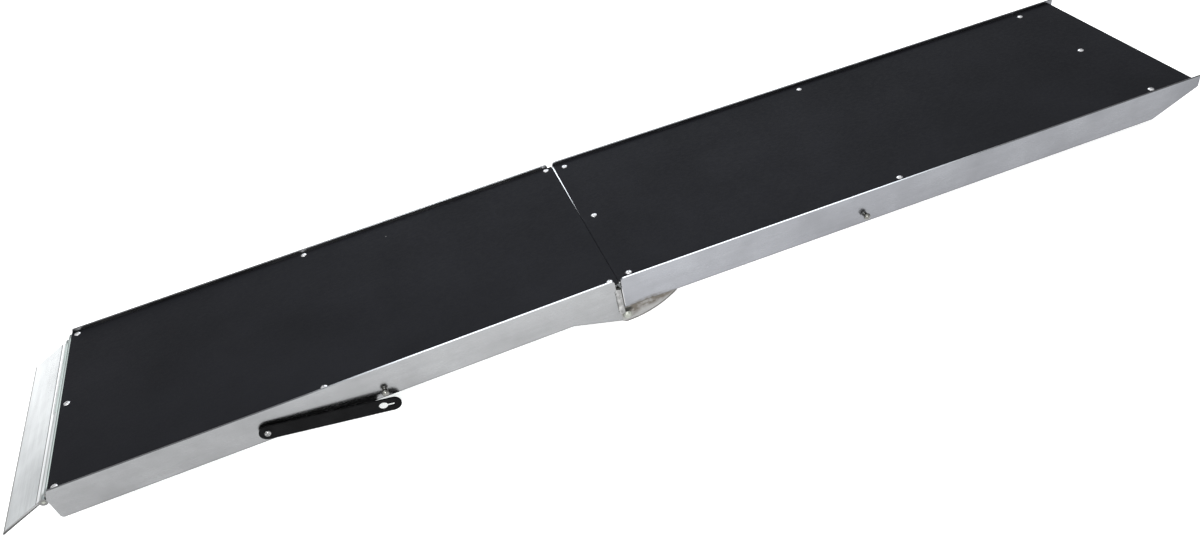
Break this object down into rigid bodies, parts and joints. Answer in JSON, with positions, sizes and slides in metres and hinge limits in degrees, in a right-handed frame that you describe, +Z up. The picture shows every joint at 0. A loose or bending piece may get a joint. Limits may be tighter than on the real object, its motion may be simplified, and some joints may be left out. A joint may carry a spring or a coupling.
{
  "type": "folding dog ramp",
  "caption": "Folding aluminium dog ramp with two black grip decks, low side pivots at the fold, a hinged ground flap and a swinging rubber latch strap with two studs.",
  "frame": {"origin": "under the middle of the whole ramp's box at rest, level with the foot of the fold's hinge eyes", "axes": "+X along the ramp from the ground flap to the upper end, +Y across it away from the latch strap, +Z up out of the lower half's deck"},
  "size_m": [1.9208, 0.3686, 0.0865],
  "materials": {
    "grip": "fine grained matt grip sheet",
    "deck_sheet": "mill",
    "rail": "brushed mill extrusion",
    "cross_bar": "mill",
    "hinge_plate": "brushed plate",
    "flap_plate": "bright mill with lengthwise streaks",
    "fastener": "bright zinc",
    "washer": "matt black nylon",
    "strap_rubber": "satin black rubber"
  },
  "bodies": {
    "lower_half": {"lower_grip": "grip", "lower_deck": "deck_sheet", "lower_rail_near": "rail", "lower_rail_far": "rail", "lower_end_bar": "cross_bar", "lower_mid_bar": "cross_bar", "lower_fold_bar": "cross_bar", "lower_deck_rivets": "fastener", "hinge_block_near": "hinge_plate", "hinge_block_far": "hinge_plate", "pivot_bolts": "fastener", "pivot_washers": "washer", "pivot_nuts": "fastener", "flap_leaf": "flap_plate", "flap_leaf_rivets": "fastener", "flap_pin": "fastener", "strap_screw": "fastener", "strap_spacer": "fastener", "strap_nut": "fastener", "storage_stud": "fastener", "storage_stud_nut": "fastener"},
    "upper_half": {"upper_grip": "grip", "upper_deck": "deck_sheet", "upper_rail_near": "rail", "upper_rail_far": "rail", "upper_fold_bar": "cross_bar", "upper_mid_bar": "cross_bar", "upper_end_bar": "cross_bar", "upper_deck_rivets": "fastener", "hinge_ear_near": "hinge_plate", "hinge_ear_far": "hinge_plate", "catch_stud": "fastener", "catch_stud_nut": "fastener"},
    "ground_flap": {"ground_flap": "flap_plate"},
    "latch_strap": {"latch_strap": "strap_rubber"}
  },
  "joints": [
    {"name": "fold", "type": "hinge", "parent": "lower_half", "child": "upper_half", "pos_m": [-0.04843, 0.0055, 0.013], "axis": [0, 1, 0], "range_deg": [-0.4, 178.8]},
    {"name": "flap_hinge", "type": "hinge", "parent": "lower_half", "child": "ground_flap", "pos_m": [-0.88993, 0.0055, 0.066], "axis": [0, 1, 0], "range_deg": [-65.5, 117]},
    {"name": "strap_swing", "type": "hinge", "parent": "lower_half", "child": "latch_strap", "pos_m": [-0.58743, -0.1775, 0.051], "axis": [0, 1, 0], "range_deg": [-1, 180]}
  ]
}
